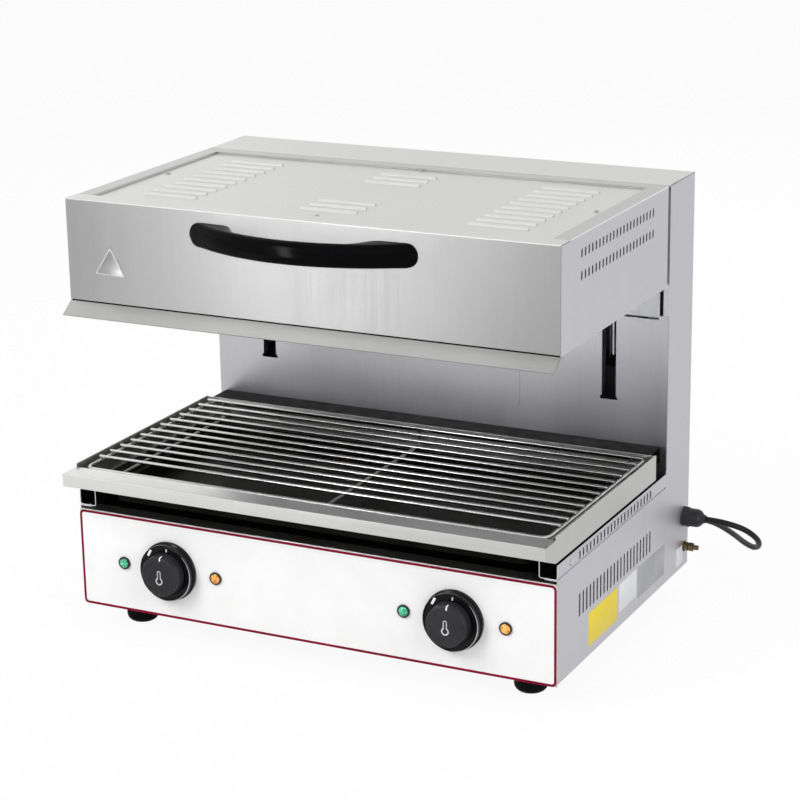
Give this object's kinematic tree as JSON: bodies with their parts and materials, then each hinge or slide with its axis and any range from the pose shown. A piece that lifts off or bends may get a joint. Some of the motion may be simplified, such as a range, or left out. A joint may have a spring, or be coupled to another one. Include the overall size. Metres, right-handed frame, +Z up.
{
  "type": "cheese melter",
  "caption": "Countertop lift-up cheese melter in brushed steel: louvred hood on a rear column, pull-out tray with wire grid, two control knobs, black cord.",
  "frame": {"origin": "on the worktop under the middle of the box round the appliance, without its cord", "axes": "+X towards the side with the cable gland, to the right seen from the front; +Y to the rear; +Z up"},
  "size_m": [0.6858, 0.6183, 0.512],
  "materials": {
    "brushed_steel": "satin",
    "dark_steel": "satin",
    "bright_steel": "gloss",
    "zinc": "satin",
    "black_enamel": "gloss",
    "black_plastic": "gloss",
    "black_rubber": "satin",
    "panel_white": "gloss",
    "green_lens": "gloss",
    "orange_lens": "gloss",
    "brass": "satin",
    "nylon": "matte",
    "white_fibre": "matte",
    "cast_iron": "matte"
  },
  "bodies": {
    "base": {"base_pan": "brushed_steel", "side_panel_left": "brushed_steel", "side_panel_right": "brushed_steel", "tray_rail_left": "brushed_steel", "tray_rail_right": "brushed_steel", "base_deck": "dark_steel", "control_panel": "brushed_steel", "panel_overlay": "panel_white", "knob_bezels": "black_plastic", "thermostats": "dark_steel", "lamp_bodies": "black_plastic", "green_lenses": "green_lens", "orange_lenses": "orange_lens", "feet": "black_rubber", "terminal_block": "nylon", "column_side_left": "brushed_steel", "column_side_right": "brushed_steel", "cavity_wall": "brushed_steel", "upper_wall": "brushed_steel", "top_cap": "brushed_steel", "rear_cover": "brushed_steel", "rear_deck": "dark_steel", "top_beam": "zinc", "bottom_beam": "zinc", "guide_rods": "bright_steel", "pulley_axles": "bright_steel", "cable_wraps": "zinc", "gland": "black_plastic", "earth_stud": "brass", "cord_free": "black_rubber", "cord_coil": "black_rubber", "cord_tail": "black_rubber", "plug": "black_rubber"},
    "tray": {"tray_frame": "brushed_steel", "drip_pan": "black_enamel", "grid_frame": "bright_steel", "grid_wires": "bright_steel"},
    "hood": {"hood_front": "brushed_steel", "hood_side_left": "brushed_steel", "hood_side_right": "brushed_steel", "hood_lip": "brushed_steel", "hood_top": "brushed_steel", "hood_rear": "brushed_steel", "reflector": "brushed_steel", "insulation": "white_fibre", "heating_elements": "dark_steel", "element_supports": "brushed_steel", "handle": "black_plastic", "carriage_left": "zinc", "carriage_right": "zinc", "slide_blocks": "nylon", "front_cables": "zinc"},
    "counterweight_body": {"counterweight": "cast_iron", "rear_cables": "zinc"},
    "pulley_left_body": {"pulley_left": "nylon"},
    "pulley_right_body": {"pulley_right": "nylon"},
    "knob_left_body": {"knob_left": "black_plastic", "knob_shaft_left": "bright_steel"},
    "knob_right_body": {"knob_right": "black_plastic", "knob_shaft_right": "bright_steel"}
  },
  "joints": [
    {"name": "hood_lift", "type": "slide", "parent": "base", "child": "hood", "axis": [0, 0, 1], "range_m": [-0.135, 0], "deforming": ["front_cables"]},
    {"name": "counterweight_slide", "type": "slide", "parent": "base", "child": "counterweight_body", "axis": [0, 0, 1], "range_m": [0, 0.135], "deforming": ["rear_cables"]},
    {"name": "pulley_left_turn", "type": "hinge", "parent": "base", "child": "pulley_left_body", "pos_m": [-0.214, 0.1805, 0.472], "axis": [1, 0, 0], "range_deg": [0, 352]},
    {"name": "pulley_right_turn", "type": "hinge", "parent": "base", "child": "pulley_right_body", "pos_m": [0.196, 0.1805, 0.472], "axis": [1, 0, 0], "range_deg": [0, 352]},
    {"name": "tray_slide", "type": "slide", "parent": "base", "child": "tray", "axis": [0, -1, 0], "range_m": [0, 0.24]},
    {"name": "knob_left_turn", "type": "hinge", "parent": "base", "child": "knob_left_body", "pos_m": [-0.189, -0.1975, 0.088], "axis": [0, 1, 0], "range_deg": [0, 300]},
    {"name": "knob_right_turn", "type": "hinge", "parent": "base", "child": "knob_right_body", "pos_m": [0.171, -0.1975, 0.088], "axis": [0, 1, 0], "range_deg": [0, 300]}
  ],
  "couplings": [
    {"joint": "counterweight_slide", "follows": "hood_lift", "ratio": -1},
    {"joint": "pulley_left_turn", "follows": "hood_lift", "rad_per_m": -45.455},
    {"joint": "pulley_right_turn", "follows": "hood_lift", "rad_per_m": -45.455}
  ]
}
